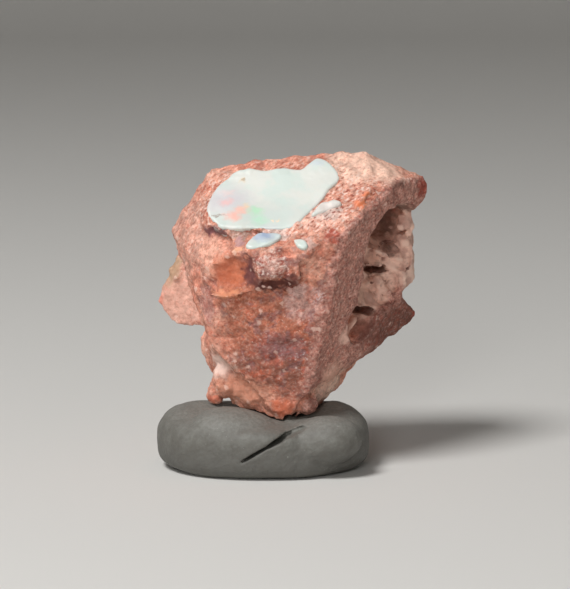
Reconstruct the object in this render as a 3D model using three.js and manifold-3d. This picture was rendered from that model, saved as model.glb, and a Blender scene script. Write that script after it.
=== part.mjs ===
// A rough opal specimen: a broken lump of pink volcanic rock with a seam of milky opal across its sloping top
// and an open hollow in its right side, stood upright on a small pat of grey mounting putty.
//
// Millimetres, +Z up. The front, which shows the opal, faces -Y. The putty's flat underside is at Z = 0.
import * as THREE from "three";
import { ConvexGeometry } from "three/addons/geometries/ConvexGeometry.js";
import { mergeVertices } from "three/addons/utils/BufferGeometryUtils.js";
import Module from "manifold-3d";

const wasm = await Module();
wasm.setup();

// ---------------------------------------------------------------- driving dimensions

const SEAT_GAP = 0.3; // clearance between a piece and the pocket that holds it
const POCKET_TOP = 3; // clear of the rock above the slope

// The sloping face that the opals lie in.
const SLOPE = { centre: [-1.7, -3.7, 27.3], tiltDeg: 41.5, leanDeg: -4.6 };

const FRACTURE_TURN_DEG = 54; // the fresh fracture down the right side, turned back from the front

const PAT = { x: -2.2, y: -0.6, halfWidth: 10.6, halfDepth: 8.1, height: 5.6, sink: 0.35, squareness: 0.45 };
const LOBES = [ // where the putty was pushed up, and where the tip presses it down
  { x: -9.3, y: 1.5, spread: 3.4, rise: 0.8 },
  { x: 5.2, y: 1.5, spread: 2.8, rise: 1.0 },
  { x: 0.8, y: -6.5, spread: 2.6, rise: -0.6 },
];
const DENT_GAP = 0.5;

// ---------------------------------------------------------------- materials

const material = (color, roughness) => new THREE.MeshStandardMaterial({ color, roughness, metalness: 0 });
const ROCK = material(0xc27a62, 0.9);
const OPAL = material(0xdfe8e2, 0.25);
const PUTTY = material(0x8b8c87, 0.7);

// ---------------------------------------------------------------- solids

const point = ([x, y, z]) => new THREE.Vector3(x, y, z);

// A closed three.js geometry as a manifold-3d solid.
function solid(geometry) {
  const bare = geometry.clone();
  for (const name of Object.keys(bare.attributes)) if (name !== "position") bare.deleteAttribute(name);
  const merged = mergeVertices(bare, 1e-4);
  const triVerts = new Uint32Array(merged.index.array);
  return new wasm.Manifold(
    new wasm.Mesh({ numProp: 3, vertProperties: merged.attributes.position.array, triVerts }),
  );
}

// A manifold-3d solid as a named three.js mesh.
function mesh(name, made, look) {
  const { vertProperties, triVerts } = made.getMesh();
  const geometry = new THREE.BufferGeometry();
  geometry.setAttribute("position", new THREE.BufferAttribute(new Float32Array(vertProperties), 3));
  geometry.setIndex(new THREE.BufferAttribute(new Uint32Array(triVerts), 1));
  geometry.computeVertexNormals();
  const result = new THREE.Mesh(geometry, look);
  result.name = name;
  return result;
}

const chunk = (corners) => solid(new ConvexGeometry(corners.map(point)));
const join = (parts) => parts.reduce((a, b) => a.add(b));

// The corners of a chunk moved out from its middle, for the pocket that holds it with a gap all round.
function grown(corners, by) {
  const middle = corners.reduce((sum, c) => sum.add(point(c)), new THREE.Vector3());
  middle.divideScalar(corners.length);
  return corners.map((c) => {
    const out = point(c).sub(middle);
    return out.setLength(out.length() + by).add(middle).toArray();
  });
}

// An ellipsoid turned to lie in the fracture: its reach is along the fracture, into the rock, and up.
function scoop([x, y, z], [along, into, up]) {
  const shape = new THREE.IcosahedronGeometry(1, 4);
  shape.scale(along, into, up).rotateZ(THREE.MathUtils.degToRad(FRACTURE_TURN_DEG)).translate(x, y, z);
  return solid(shape);
}

// ---------------------------------------------------------------- the rock's chunks

const tip = [[-0.2, -4.2, 5.6], [2.5, -5.0, 8.5], [-0.1, -5.3, 9.8], [-5.5, 4.0, 8.0], [0.0, 4.0, 7.0]];
const body = chunk([
  // ridge along the top, left to right, ending at the beak
  [-7.3, 0.0, 29.9], [-2.3, 0.5, 30.8], [5.8, 0.8, 31.6], [8.0, 0.8, 31.6], [13.9, 3.0, 28.8],
  [14.3, 3.0, 28.1], [14.2, 3.2, 27.4],
  // the top's right-hand edge, above the fracture
  [8.5, -3.4, 28.2], [11.4, -1.0, 28.9],
  // the brow over the front
  [-11.3, 0.0, 24.0], [-9.9, -3.5, 22.3], [-6.8, -6.5, 22.1], [-2.9, -8.0, 23.2], [1.5, -8.3, 23.3],
  [6.3, -7.0, 24.6],
  // the front's left and right edges
  [-9.6, -3.5, 21.1], [-7.9, -4.5, 15.5], [-7.2, -4.5, 12.6],
  [5.4, -7.0, 21.8], [4.0, -6.5, 15.8],
  // the front's lower edge, and the tip that it comes down to
  [-3.8, -5.3, 12.1], [-2.3, -5.6, 11.6], ...tip,
  // back
  [-8.5, 5.5, 27.0], [0.0, 8.0, 27.5], [8.5, 8.5, 28.0], [13.1, 8.5, 24.5],
  [-7.5, 9.0, 16.0], [3.0, 11.0, 19.0], [11.5, 10.5, 18.0], [13.4, 8.0, 13.8], [12.8, 8.0, 13.1],
]);
const lobe = chunk([
  [-13.0, 6.0, 15.6], [-12.4, 6.0, 17.3], [-10.9, 7.0, 20.4], [-10.2, 5.0, 13.2], [-11.6, 5.5, 13.8],
  [-8.1, 4.0, 13.4],
  [-9.5, 4.5, 19.0], [-6.0, 4.0, 17.0], [-10.5, 9.5, 18.5], [-10.8, 9.0, 15.0], [-5.0, 10.0, 15.0],
]);
const brow = chunk([
  [-7.9, -5.0, 18.6], [-5.9, -6.9, 18.2], [-2.2, -8.1, 19.2], [1.3, -8.1, 19.2], [-3.2, -8.7, 21.9],
  [1.5, -8.5, 22.4],
  [-6.9, -7.1, 21.6], [-8.5, -5.2, 20.7], [-4.0, -3.0, 20.0], [0.0, -3.0, 21.0],
]);
const waist = chunk([
  [-8.5, 2.5, 12.6], [-8.3, 2.5, 11.0], [-7.6, 1.5, 10.2], [-7.4, 1.4, 9.0], [-7.0, -3.5, 12.5],
  [-4.0, -4.6, 12.0],
  [-6.0, 4.5, 9.0], [-8.0, 4.0, 14.0], [-2.0, -4.0, 8.0], [-3.0, 3.0, 7.5],
]);
const leftFoot = [
  [-7.7, 0.8, 7.2], [-7.6, 0.8, 6.6], [-6.6, 0.6, 6.5], [-7.3, 1.2, 9.0], [-6.5, 2.2, 6.7],
  [-5.5, -0.6, 7.4], [-4.0, 1.5, 8.0],
  [-5.4, -1.6, 10.0],
];
const midFoot = [
  [-4.6, -1.6, 6.2], [-2.3, -3.1, 5.9], [-0.2, -4.2, 5.3], [-0.2, -5.0, 9.6], [-2.4, -5.0, 11.4],
  [-5.0, -3.0, 10.5],
  [-5.5, -0.6, 6.8], [-3.5, 3.0, 6.2], [0.0, 2.0, 5.2],
];
const rightFoot = [
  [6.3, 3.5, 8.6], [5.5, 3.0, 7.4], [4.8, 2.5, 6.9], [3.5, 1.5, 5.7], [2.6, -3.5, 7.0],
  [1.0, -3.6, 5.5], [0.5, 3.5, 5.4],
  [3.0, 5.5, 8.0], [4.0, 0.0, 11.0], [7.2, 4.0, 9.8],
];

// ---------------------------------------------------------------- what is missing from the rock

const hollow = join([
  scoop([11.2, 0.4, 21.9], [5.1, 4.4, 4.7]),
  scoop([10.3, 0.5, 17.9], [4.3, 3.8, 3.3]),
  scoop([7.8, -0.5, 14.8], [2.6, 2.9, 2.6]),
  scoop([10.05, 4.15, 23.7], [2.3, 2.6, 2.2]), // its deep upper corner
]);
// A break that runs from front to back, with its outline seen from the front, as x and z.
const through = (profile, front, back) => chunk(profile.flatMap(([x, z]) => [[x, front, z], [x, back, z]]));
const edgeBreaks = join([
  through([[12.8, 25.2], [13.15, 17.9], [14.6, 27.3], [13.7, 25.9], [17, 17.9], [17, 27]], -2, 12),
  through([[13.2, 18.2], [12.0, 16.9], [11.8, 16.1], [13.3, 14.4], [16, 18.2], [16, 14.4]], 3, 12),
]);

// ---------------------------------------------------------------- the opals

// A closed outline in the slope's own plane, as a smooth curve through its points.
function outline(points, by = 0) {
  const middle = points.reduce((sum, [u, v]) => sum.add(new THREE.Vector2(u, v)), new THREE.Vector2());
  middle.divideScalar(points.length);
  const moved = points.map(([u, v]) => {
    const out = new THREE.Vector2(u, v).sub(middle);
    const at = out.setLength(out.length() + by).add(middle);
    return new THREE.Vector3(at.x, at.y, 0);
  });
  const curve = new THREE.CatmullRomCurve3(moved, true, "centripetal");
  return new THREE.Shape(curve.getPoints(points.length * 3).slice(1).map((p) => new THREE.Vector2(p.x, p.y)));
}

function slab(points, { by = 0, from, to, bevel = 0 }) {
  const shape = new THREE.ExtrudeGeometry(outline(points, by), {
    depth: to - from - 2 * bevel,
    bevelEnabled: bevel > 0,
    bevelThickness: bevel,
    bevelSize: bevel,
    bevelOffset: -bevel,
    bevelSegments: 2,
    steps: 1,
    curveSegments: 1,
  });
  shape.translate(0, 0, from + bevel);
  shape.rotateX(THREE.MathUtils.degToRad(SLOPE.tiltDeg)).rotateY(THREE.MathUtils.degToRad(SLOPE.leanDeg));
  shape.translate(...SLOPE.centre);
  return solid(shape);
}

// Each outline is in the slope's plane: along the brow, and up the slope, from SLOPE.centre. An opal stands
// proud of that plane and is sunk below it.
const OPALS = {
  opal_face: {
    proud: 0.35, sunk: 1.2, bevel: 0.2,
    points: [
      [-6.0, -0.8], [-5.7, -1.9], [-4.5, -3.2], [-1.7, -3.6], [1.0, -4.0], [2.4, -3.8], [3.5, -2.6],
      [5.2, -0.8],
      [6.1, 0.7], [7.2, 1.9], [7.1, 2.9], [6.2, 4.4], [5.2, 4.9], [4.5, 4.4], [3.4, 3.6], [1.8, 4.0],
      [0.1, 3.8],
      [-1.2, 4.2], [-2.6, 4.1], [-4.5, 2.6], [-5.5, 1.1],
    ],
  },
  opal_lower_chip: {
    proud: 0.1, sunk: 0.7, bevel: 0.1,
    points: [
      [-2.3, -5.7], [-1.9, -6.1], [-1.2, -6.1], [-0.3, -5.8], [0.6, -5.3], [1.0, -4.8],
      [0.6, -4.5], [-1.2, -4.4],
    ],
  },
  opal_side_strip: {
    proud: 0.1, sunk: 0.7, bevel: 0.1,
    points: [
      [4.3, -2.5], [4.8, -1.8], [5.4, -1.2], [5.9, -1.2], [6.5, -1.0], [7.0, -1.2], [6.6, -1.6],
      [5.6, -2.0],
    ],
  },
  opal_fleck: {
    proud: 0.1, sunk: 0.7, bevel: 0.1,
    points: [[2.3, -5.5], [2.7, -5.4], [3.2, -5.7], [3.5, -6.4], [3.2, -6.6], [2.7, -6.3]],
  },
};

const opals = Object.entries(OPALS).map(([name, { proud, sunk, bevel, points }]) => ({
  name,
  made: slab(points, { from: -sunk, to: proud, bevel }),
  pocket: slab(points, { by: SEAT_GAP, from: -sunk - SEAT_GAP, to: POCKET_TOP }),
}));
const pockets = join(opals.map(({ pocket }) => pocket));

const rock = join([body, lobe, brow, waist, chunk(leftFoot), chunk(midFoot), chunk(rightFoot)])
  .subtract(hollow).subtract(edgeBreaks).subtract(pockets);

// ---------------------------------------------------------------- putty

function puttyPat() {
  const shape = new THREE.SphereGeometry(1, 48, 24);
  shape.rotateX(Math.PI / 2);
  const at = shape.attributes.position;
  const half = (PAT.height + PAT.sink) / 2;
  for (let i = 0; i < at.count; i++) {
    const across = new THREE.Vector2(at.getX(i), at.getY(i));
    across.setLength(across.length() ** PAT.squareness);
    const up = Math.sign(at.getZ(i)) * Math.abs(at.getZ(i)) ** PAT.squareness;
    const x = PAT.x + PAT.halfWidth * across.x;
    const y = PAT.y + PAT.halfDepth * across.y;
    const z = Math.max(0, half * (1 + up) - PAT.sink);
    const lift = LOBES.reduce((sum, lobe) => {
      const away = Math.hypot(x - lobe.x, y - lobe.y) / lobe.spread;
      return sum + lobe.rise * Math.exp(-(away ** 2));
    }, 0);
    at.setXYZ(i, x, y, z * (1 + Math.max(0, up) * (lift / PAT.height)));
  }
  return solid(shape);
}

const dent = join([leftFoot, midFoot, rightFoot, tip].map((corners) => chunk(grown(corners, DENT_GAP))));
const putty = puttyPat().subtract(dent);

// ---------------------------------------------------------------- the specimen

const specimen = new THREE.Group();
specimen.add(mesh("host_rock", rock, ROCK));
for (const { name, made } of opals) specimen.add(mesh(name, made, OPAL));
specimen.add(mesh("mounting_putty", putty, PUTTY));

// The origin is the middle of the footprint, at the surface that the putty stands on.
const box = new THREE.Box3().setFromObject(specimen);
specimen.position.set(-(box.min.x + box.max.x) / 2, -(box.min.y + box.max.y) / 2, -box.min.z);

export default specimen;
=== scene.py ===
# %% [markdown]
# # A rough opal specimen
#
# The real thing is a thumb-sized lump of pink volcanic rock. Milky opal fills a seam across its
# sloping top, a hollow opens in its right side, and a pat of grey putty holds it upright. The
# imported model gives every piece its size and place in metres. This script keeps those places and
# makes the broken stone, the opal and the putty look real. Sizes and places in it are written in
# millimetres and turned into metres with MM.

# %% Load the frame
import math

import bpy
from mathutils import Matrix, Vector


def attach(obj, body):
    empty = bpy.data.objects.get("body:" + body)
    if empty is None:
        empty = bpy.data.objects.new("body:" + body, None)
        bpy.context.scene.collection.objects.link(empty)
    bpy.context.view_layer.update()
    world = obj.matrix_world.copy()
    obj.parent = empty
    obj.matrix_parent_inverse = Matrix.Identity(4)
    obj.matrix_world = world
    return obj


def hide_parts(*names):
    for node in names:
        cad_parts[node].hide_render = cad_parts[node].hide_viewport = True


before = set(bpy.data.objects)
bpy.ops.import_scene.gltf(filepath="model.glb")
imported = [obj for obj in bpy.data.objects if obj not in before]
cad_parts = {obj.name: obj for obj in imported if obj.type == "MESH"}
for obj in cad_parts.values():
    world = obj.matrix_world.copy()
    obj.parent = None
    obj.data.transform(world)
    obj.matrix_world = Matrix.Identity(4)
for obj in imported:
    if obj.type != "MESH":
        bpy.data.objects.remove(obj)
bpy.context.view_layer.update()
MM = 0.001
scene = bpy.context.scene
print("pieces:", sorted(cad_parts))

# %% [markdown]
# ## Camera
#
# A small thing is best seen from close by through a long lens, a little above its middle, so its
# upright edges stay upright. A lens can be set by eye, but here it is worked out from how much
# height it takes in at the specimen.

# %% Camera
AIM = Vector((-0.65, -1.15, 17.3)) * MM
ELEVATION = math.radians(9)
DISTANCE = 300 * MM
HEIGHT_SEEN = 58.9 * MM
SENSOR_WIDTH = 36
NEAREST = 10 * MM

camera_data = bpy.data.cameras.new("camera")
camera_data.sensor_width = SENSOR_WIDTH
camera_data.lens = SENSOR_WIDTH * DISTANCE / HEIGHT_SEEN
camera_data.clip_start = NEAREST
camera = bpy.data.objects.new("camera", camera_data)
camera.location = AIM + Vector((0, -math.cos(ELEVATION), math.sin(ELEVATION))) * DISTANCE
camera.rotation_euler = (math.radians(90) - ELEVATION, 0, 0)
scene.collection.objects.link(camera)
scene.camera = camera
print("lens in mm:", round(camera_data.lens, 1))

# %% [markdown]
# ## Handling the pieces
#
# Operators act on whatever is selected, so each step first selects just the piece that it works
# on. A modifier can stay live on a piece, but one that is applied at once leaves a plain mesh
# behind, which the next step can build on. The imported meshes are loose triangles, so each copy has
# its doubles merged before anything else happens to it.

# %% Select, copy and finish a piece
WELD = 0.001 * MM


def select_only(piece):
    bpy.ops.object.select_all(action="DESELECT")
    piece.select_set(True)
    bpy.context.view_layer.objects.active = piece


def own_copy(node, name):
    """A copy of a CAD node's mesh in a new object, with its loose triangles merged into one skin."""
    piece = bpy.data.objects.new(name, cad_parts[node].data.copy())
    piece.data.name = name
    piece.data.materials.clear()
    scene.collection.objects.link(piece)
    select_only(piece)
    bpy.ops.object.mode_set(mode="EDIT")
    bpy.ops.mesh.select_all(action="SELECT")
    bpy.ops.mesh.remove_doubles(threshold=WELD)
    bpy.ops.object.mode_set(mode="OBJECT")
    return piece


def finish_with(piece, kind, **settings):
    """Adds a modifier, gives it its settings and applies it."""
    modifier = piece.modifiers.new(kind.lower(), kind)
    for setting, value in settings.items():
        setattr(modifier, setting, value)
    select_only(piece)
    bpy.ops.object.modifier_apply(modifier=modifier.name)


def slide(piece, offset):
    """Moves a piece by that many millimetres, and puts the move into its mesh."""
    piece.location = offset * MM
    select_only(piece)
    bpy.ops.object.transform_apply(location=True)


def triangles(piece):
    return sum(len(polygon.vertices) - 2 for polygon in piece.data.polygons)


# %% [markdown]
# ## Lumps, bites and skins
#
# A broken stone is easiest to build as a carver would: lumps are added, bites are taken out, and
# then one skin is laid over everything. Sculpting by hand would do the same, but ellipsoids with
# written places can be changed one by one. A boolean keeps each edge crisp, and a voxel remesh
# then gives even faces that textures can push about.

# %% Lumps, bites and skins


def blob(centre, radii, turn=(0, 0, 0), detail=4):
    """An ellipsoid, in millimetres and degrees. A low detail gives it broken flat facets."""
    bpy.ops.object.select_all(action="DESELECT")
    bpy.ops.mesh.primitive_ico_sphere_add(
        subdivisions=detail,
        radius=1,
        location=Vector(centre) * MM,
        rotation=[math.radians(angle) for angle in turn],
        scale=Vector(radii) * MM,
    )
    bpy.ops.object.transform_apply(location=True, rotation=True, scale=True)
    return bpy.context.object


def combine(piece, operation, tools):
    """Adds each closed tool to the piece (UNION) or carves it away (DIFFERENCE)."""
    for tool in tools:
        finish_with(piece, "BOOLEAN", operation=operation, solver="MANIFOLD", object=tool)
        bpy.data.objects.remove(tool)


def reskin(piece, voxel):
    """One even skin over everything, with faces of about that many millimetres."""
    finish_with(piece, "REMESH", mode="VOXEL", voxel_size=voxel * MM, use_smooth_shade=True)
    print(piece.name, "has", len(piece.data.polygons), "faces")


def swell(piece, height):
    """Moves the whole skin outwards by that many millimetres, or inwards if it is negative."""
    finish_with(piece, "DISPLACE", strength=height * MM, mid_level=0)


# %% [markdown]
# ## Rough places
#
# A rock isn't equally rough all over. A vertex group says how much of a texture each place takes,
# and a Displace modifier then pushes the skin in and out by that texture. A group could be painted
# by hand. Here it is measured from a few ellipsoids, so it fits any skin.

# %% Weights and textures
WEIGHT_LEVELS = 20


def weigh(piece, group, places):
    """A vertex group that is strong inside each ellipsoid (centre, radii, strength) and fades out."""
    piece.vertex_groups.new(name=group)
    by_level = {}
    for vertex in piece.data.vertices:
        x, y, z = vertex.co / MM
        weight = 0
        for (cx, cy, cz), (rx, ry, rz), strength in places:
            away = math.sqrt(((x - cx) / rx) ** 2 + ((y - cy) / ry) ** 2 + ((z - cz) / rz) ** 2)
            if away < 1:
                fade = min(1, 2 * (1 - away))
                weight = max(weight, strength * fade * fade * (3 - 2 * fade))
        by_level.setdefault(round(weight * WEIGHT_LEVELS), []).append(vertex.index)
    for level, vertices in by_level.items():
        piece.vertex_groups[group].add(vertices, level / WEIGHT_LEVELS, "REPLACE")


def roughen(piece, kind, size, height, group="", spare=False, middle=0.5, **settings):
    """Pushes the skin in and out by a texture with features of that size, both in millimetres.

    It works in the vertex group, or outside it where spare is set.
    """
    texture = bpy.data.textures.new(kind.lower(), kind)
    texture.noise_scale = size * MM
    for setting, value in settings.items():
        setattr(texture, setting, value)
    finish_with(
        piece,
        "DISPLACE",
        texture=texture,
        texture_coords="LOCAL",
        strength=height * MM,
        mid_level=middle,
        vertex_group=group,
        invert_vertex_group=spare,
    )


# %% [markdown]
# ## The opals' pockets
#
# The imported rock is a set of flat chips, with a pocket round each opal so that the pieces keep
# clear of each other. The real opal grew in the rock and has no gap round it. So each pocket is
# packed with matrix first: a swollen copy of the opal, pushed down into the rock, becomes part of
# it.

# %% Pack the opals' pockets
SLOPE_OUT = Vector((-0.06, -0.66, 0.746)).normalized()
OPAL_NODES = ["opal_face", "opal_lower_chip", "opal_side_strip", "opal_fleck"]
FILLER_VOXEL = 0.2
FILLER_SWELL = 0.7
FACE_FILLER_DEPTH = 1.0
CHIP_FILLER_DEPTH = 0.8

rock = own_copy("host_rock", "rock")
fillers = []
for node in OPAL_NODES:
    filler = own_copy(node, "filler")
    reskin(filler, FILLER_VOXEL)
    swell(filler, FILLER_SWELL)
    slide(filler, -SLOPE_OUT * (FACE_FILLER_DEPTH if node == "opal_face" else CHIP_FILLER_DEPTH))
    fillers.append(filler)
combine(rock, "UNION", fillers)
print("pockets packed:", len(OPAL_NODES))

# %% [markdown]
# ## Bites
#
# The front has a shell-shaped break and a pit with a round nodule in it, the hollow in the right
# side is deep and uneven, and the back has lost large flakes. Each of these is an ellipsoid cut
# out of the rock. The flakes are cut with coarse ones, whose facets leave flat breaks.

# %% Bites
BITES = [
    # centre, radii, turn, and for broken flat facets a detail of 1
    ((-6.3, -11.1, 20.3), (3.6, 3.6, 3.4), (0, 0, 0)),  # shell-shaped break, left of the nodule
    ((-9.0, -9.1, 19.2), (2.4, 2.4, 1.5), (0, 0, 0)),
    ((-1.9, -11.3, 20.6), (2.35, 2.5, 1.95), (0, 0, 0)),  # the seat of the nodule
    ((-1.2, -9.9, 19.6), (2.1, 1.3, 0.7), (0, 5, 0)),  # the dark pit under it
    ((-4.0, -9.9, 20.9), (0.5, 1.1, 1.5), (0, -10, 0)),
    ((0.1, -10.5, 20.3), (0.6, 1.2, 0.5), (0, -20, 0)),
    ((-7.2, -6.9, 24.1), (1.4, 0.9, 0.55), (20, 24, -25)),  # pit below the opal's nose
    ((-4.4, -7.75, 24.35), (2.0, 0.5, 0.35), (0, 2, 0)),  # groove below the opal's straight edge
    ((-6.4, -2.6, 8.0), (0.35, 0.8, 0.3), (0, 0, 0)),  # pits in the left foot
    ((-7.3, -1.8, 8.0), (0.3, 0.7, 0.25), (0, 0, 0)),
    ((-5.2, -5.0, 9.6), (0.5, 0.8, 0.55), (0, 30, 0)),
    ((9.5, 3.1, 23.7), (2.3, 2.9, 2.3), (0, 0, 0)),  # deep corner of the hollow
    ((8.2, 0.9, 20.4), (1.8, 2.2, 1.6), (0, 0, 0)),
    ((10.1, 4.4, 21.2), (1.0, 1.6, 0.5), (0, 25, 0)),  # pits in its far wall
    ((8.5, 3.3, 19.2), (1.4, 1.9, 0.45), (0, 5, 0)),
    ((7.2, 1.4, 15.3), (1.3, 1.7, 0.42), (0, 8, 0)),
    ((6.5, 12.2, 25.6), (7.5, 5.2, 4.4), (0, 20, 0), 1),  # flakes broken off the back
    ((-5.5, 11.4, 21.5), (6.0, 4.8, 6.0), (0, 0, 30), 1),
    ((3.0, 13.0, 18.5), (5.0, 5.2, 3.4), (0, -25, 0), 1),
    ((9.0, 11.6, 14.0), (4.4, 4.8, 3.8), (0, 30, 0), 1),
    ((-1.0, 10.6, 11.5), (5.5, 5.6, 3.4), (0, 10, 0), 1),
]
combine(rock, "DIFFERENCE", [blob(*bite) for bite in BITES])
print("bites:", len(BITES))

# %% [markdown]
# ## Lumps
#
# The nodule, thin lips and ledges, a vein, the feet and the knobs inside the hollow stand out from
# the rock, so they are added after the bites. Then one even skin is laid over all of it. Its faces
# are smaller than the smallest lump is thick.

# %% Lumps
LUMPS = [
    # centre, radii, turn, and a low detail where it looks broken
    ((-2.05, -8.9, 21.5), (1.75, 1.1, 1.6), (0, 0, 0)),  # round nodule below the chip
    ((-5.8, -7.3, 18.15), (2.5, 0.9, 0.3), (0, 5, 22)),  # lip of the shell-shaped break
    ((-1.6, -8.4, 18.75), (1.4, 0.45, 0.2), (0, -3, 0)),  # thin ledge under the dark pit
    ((-5.2, -8.1, 22.9), (0.9, 0.5, 0.35), (0, -20, 0)),
    ((6.9, -5.5, 27.4), (1.4, 0.3, 0.3), (0, -38, 40)),  # vein on the top's right edge
    ((-1.2, -4.6, 7.3), (2.1, 1.4, 1.6), (0, 20, -20), 2),  # the tip it stands on
    ((1.3, -3.9, 6.7), (1.4, 1.4, 1.1), (0, 10, 20), 2),
    ((-7.7, -0.6, 6.9), (0.85, 1.0, 0.85), (0, 20, 10), 1),  # the left foot, and its own small tip
    ((-4.0, -2.9, 8.5), (4.2, 1.5, 2.2), (0, 4, -32), 2),
    ((-6.3, -2.3, 9.2), (1.7, 1.4, 2.2), (0, 10, 20), 2),
    ((11.4, 3.6, 24.0), (0.9, 0.9, 1.1), (0, 10, 0), 1),  # knobs and steps in the hollow's far wall
    ((11.4, 4.2, 22.1), (0.9, 0.9, 0.8), (30, 0, 0), 1),
    ((8.9, 3.3, 20.9), (1.4, 0.9, 0.35), (0, 30, 30), 2),
    ((10.7, 4.1, 20.2), (1.4, 0.9, 0.4), (0, 10, 20), 2),
    ((11.0, 4.3, 18.8), (1.1, 0.9, 0.6), (0, -10, 0), 1),
    ((8.6, 2.9, 18.0), (1.6, 0.9, 0.5), (0, -5, 30), 2),
    ((9.6, 3.2, 16.8), (1.6, 1.0, 0.8), (0, 10, 0), 1),
    ((5.6, -0.1, 13.5), (0.45, 0.8, 1.6), (0, 32, 0), 2),
    ((-11.2, 5.4, 18.6), (1.4, 2.0, 1.9), (10, 50, 20), 1),  # upper corner of the lobe
]
ROCK_VOXEL = 0.14

combine(rock, "UNION", [blob(*lump) for lump in LUMPS])
print("lumps:", len(LUMPS))
reskin(rock, ROCK_VOXEL)

# %% [markdown]
# ## Broken faces
#
# Real rhyolite breaks along flat faces that are still granular, pitted and stepped. Soft clouds
# bend the faces, and cells (Voronoi) give them chips with ridges between them. The parts that
# have their own shape, such as the slope round the opal and the nodule, take less of both.

# %% Break up the flat faces
SMOOTH_PLACES = [
    # centre, radii, strength
    ((-2.0, -5.4, 27.2), (8.0, 4.5, 3.4), 1),  # round the opal
    ((-5.6, -8.6, 20.6), (2.8, 2.4, 2.8), 1),  # shell-shaped break
    ((-1.9, -9.2, 20.8), (2.6, 2.4, 2.4), 1),  # nodule
    ((6.5, -4.5, 20.5), (3.6, 5.0, 8.5), 0.85),  # fracture beside the hollow
    ((-12.0, 4.0, 16.0), (2.6, 4.0, 4.0), 0.7),  # lobe on the left
    ((-0.9, -5.0, 7.0), (3.0, 2.5, 2.4), 1),  # tip
    ((12.5, 0.5, 28.5), (4.5, 5.0, 3.0), 1),  # beak
    ((12.0, 5.5, 14.5), (3.0, 4.0, 2.6), 0.7),  # wing
]
weigh(rock, "smooth", SMOOTH_PLACES)
roughen(rock, "CLOUDS", size=4.0, height=0.45, group="smooth", spare=True, noise_depth=1)
roughen(rock, "VORONOI", size=1.7, height=-0.36, group="smooth", spare=True, middle=0.45)
print("calmer places:", len(SMOOTH_PLACES))

# %% Break up the back
BACK = [((2.0, 9.5, 19.0), (13.5, 8.0, 17.0), 1)]
weigh(rock, "back", BACK)
roughen(rock, "VORONOI", size=2.8, height=-0.8, group="back", middle=0)
print("back, places:", len(BACK))

# %% Break up the hollow
HOLLOW = [
    ((9.8, 3.8, 21.9), (4.0, 6.0, 5.0), 1),
    ((10.5, -1.0, 21.9), (5.2, 5.4, 5.0), 0.8),
    ((9.6, -1.0, 17.9), (4.4, 4.8, 3.6), 0.8),
    ((9.2, 3.0, 17.9), (4.2, 6.0, 4.0), 1),
    ((7.6, 1.2, 14.8), (2.8, 4.0, 2.6), 0.7),
]
weigh(rock, "hollow", HOLLOW)
roughen(rock, "VORONOI", size=1.5, height=-0.6, group="hollow", middle=0.45)
roughen(rock, "CLOUDS", size=1.1, height=0.4, group="hollow", noise_depth=1)
print("hollow, places:", len(HOLLOW))

# %% Grain
roughen(rock, "STUCCI", size=0.7, height=0.22, noise_basis="ORIGINAL_PERLIN")
roughen(rock, "CLOUDS", size=0.36, height=0.2, noise_depth=1, noise_basis="ORIGINAL_PERLIN")
print("rock before the opals are cleared:", triangles(rock), "triangles")

# %% [markdown]
# ## The opals
#
# Each opal is a thin plate with a worn, slightly wavy face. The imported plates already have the
# right outline and place, so a copy gets an even skin and soft edges. The large one sits a little
# deeper, and only its rim is uneven, because its face is nearly flat. The small ones are a little
# swollen instead, so that they stay in sight above the grain of the rock.

# %% Shape the opals
FACE_PLACES = [
    ((-1.5, -5.2, 27.4), (9.5, 6.0, 5.4), 1),
    ((2.2, -2.9, 29.9), (4.0, 3.4, 3.2), 0.9),
    ((-6.8, -5.6, 26.4), (3.0, 3.0, 2.4), 0.9),
]
FACE_VOXEL = 0.09
CHIP_VOXEL = 0.06
FACE_SINK = 0.2
CHIP_SWELL = 0.08
STRIP_SWELL = 0.2

opals = {}
for node in OPAL_NODES:
    opal = own_copy(node, node.replace("opal_", "opal_piece_"))
    reskin(opal, FACE_VOXEL if node == "opal_face" else CHIP_VOXEL)
    finish_with(opal, "SMOOTH", factor=0.5, iterations=1)
    if node == "opal_face":
        slide(opal, -SLOPE_OUT * FACE_SINK)
        weigh(opal, "face", FACE_PLACES)
        roughen(opal, "CLOUDS", size=1.2, height=0.6, group="face", spare=True, noise_depth=1)
    else:
        swell(opal, STRIP_SWELL if node == "opal_side_strip" else CHIP_SWELL)
        roughen(opal, "CLOUDS", size=1.0, height=0.2, noise_depth=0)
    roughen(opal, "CLOUDS", size=3.0, height=0.2, noise_depth=0)
    opals[node] = opal
print("opals in triangles:", [triangles(opal) for opal in opals.values()])

# %% [markdown]
# ## Clear the opals' faces
#
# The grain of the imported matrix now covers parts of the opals. On the real specimen it is cleaned
# away down to the seam. A copy of each opal, a little smaller and lifted out along the slope, cuts
# the matrix off its face and leaves it round the rim. Cutting with the opal itself would open a
# gap round it. Last, the rock's flattest triangles are merged, which keeps the piece light.

# %% Clear the opals' faces of matrix
CUTTER_VOXEL = 0.1
FACE_CLEARING = (-0.25, 0.5)  # the swell and the lift of the cutter
CHIP_CLEARING = (-0.15, 0.35)
ROCK_TRIANGLES = 195_000

for node, opal in opals.items():
    shrinking, lift = FACE_CLEARING if node == "opal_face" else CHIP_CLEARING
    cutter = bpy.data.objects.new("cutter", opal.data.copy())
    scene.collection.objects.link(cutter)
    swell(cutter, shrinking)
    reskin(cutter, CUTTER_VOXEL)
    slide(cutter, SLOPE_OUT * lift)
    combine(rock, "DIFFERENCE", [cutter])
finish_with(rock, "DECIMATE", ratio=min(1, ROCK_TRIANGLES / triangles(rock)))
print("rock:", triangles(rock), "triangles")

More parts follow.
